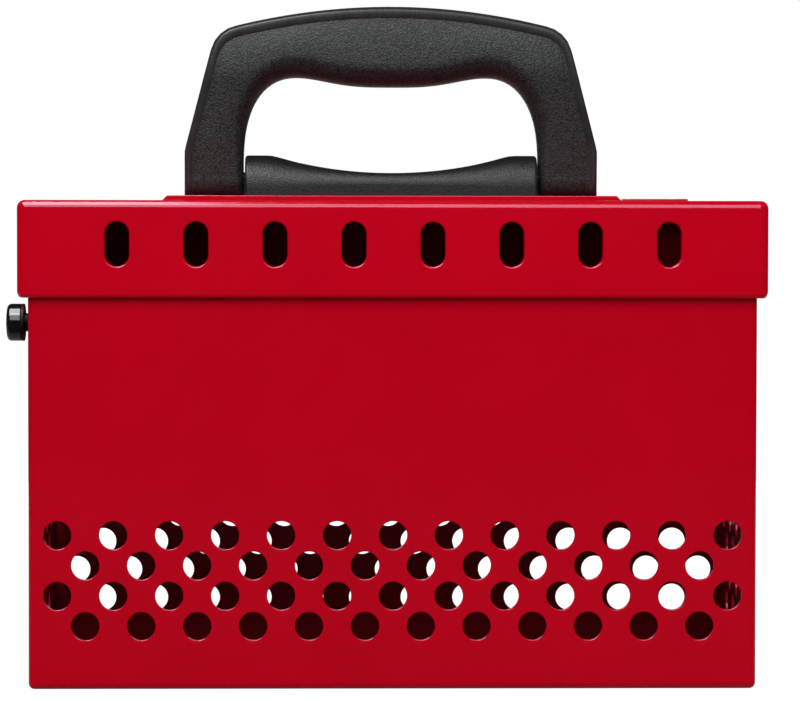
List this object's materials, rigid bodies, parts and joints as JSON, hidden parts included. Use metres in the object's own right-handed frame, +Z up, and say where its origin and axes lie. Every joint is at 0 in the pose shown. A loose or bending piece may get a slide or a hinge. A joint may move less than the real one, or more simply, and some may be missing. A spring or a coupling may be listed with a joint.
{
  "type": "group lockout box",
  "caption": "Red sheet steel lockout box with a hinged slotted lid, perforated walls, push button latch and folding carrying handle.",
  "frame": {"origin": "middle of the underside of the body, on the surface it stands on", "axes": "+X to the viewer's right along the width, -Y towards the front with the padlock slots, +Z up"},
  "size_m": [0.2424, 0.0971, 0.2168],
  "materials": {
    "red_coat": "satin red powder coat on sheet steel",
    "matte_black": "finely grained black plastic",
    "gloss_black": "smooth black plastic",
    "plated_steel": "bright zinc plate",
    "spring_steel": "bare spring steel"
  },
  "bodies": {
    "body": {"body_wrap": "red_coat", "left_end_panel": "red_coat", "right_end_panel": "red_coat", "hinge_body_leaf": "plated_steel", "hinge_pin": "plated_steel", "body_leaf_rivet_1": "plated_steel", "body_leaf_rivet_2": "plated_steel", "body_leaf_rivet_3": "plated_steel", "button_guide": "gloss_black", "latch_spring": "spring_steel", "latch_rivet_1": "plated_steel", "latch_rivet_2": "plated_steel"},
    "button": {"push_button": "gloss_black", "button_clip": "spring_steel"},
    "lid": {"lid_shell": "red_coat", "hinge_lid_leaf": "plated_steel", "lid_leaf_rivet_1": "red_coat", "lid_leaf_rivet_2": "red_coat", "lid_leaf_rivet_3": "red_coat", "latch_keeper": "plated_steel", "key_slot_plate": "red_coat", "handle_pad": "red_coat", "handle_base": "matte_black", "base_washer_1": "plated_steel", "base_washer_2": "plated_steel", "base_screw_1": "plated_steel", "base_screw_2": "plated_steel", "pivot_pin_left": "plated_steel", "pivot_pin_right": "plated_steel"},
    "handle": {"handle_grip": "matte_black"}
  },
  "joints": [
    {"name": "lid_hinge", "type": "hinge", "parent": "body", "child": "lid", "pos_m": [0, 0.0471, 0.1386], "axis": [-1, 0, 0], "range_deg": [0, 110]},
    {"name": "handle_fold", "type": "hinge", "parent": "lid", "child": "handle", "pos_m": [0, 0, 0.1614], "axis": [1, 0, 0], "range_deg": [-78, 78]},
    {"name": "button_press", "type": "slide", "parent": "body", "child": "button", "axis": [1, 0, 0], "range_m": [0, 0.004], "stiffness_N_per_m": 1200, "springref_m": -0.001, "deforming": ["latch_spring"]}
  ]
}
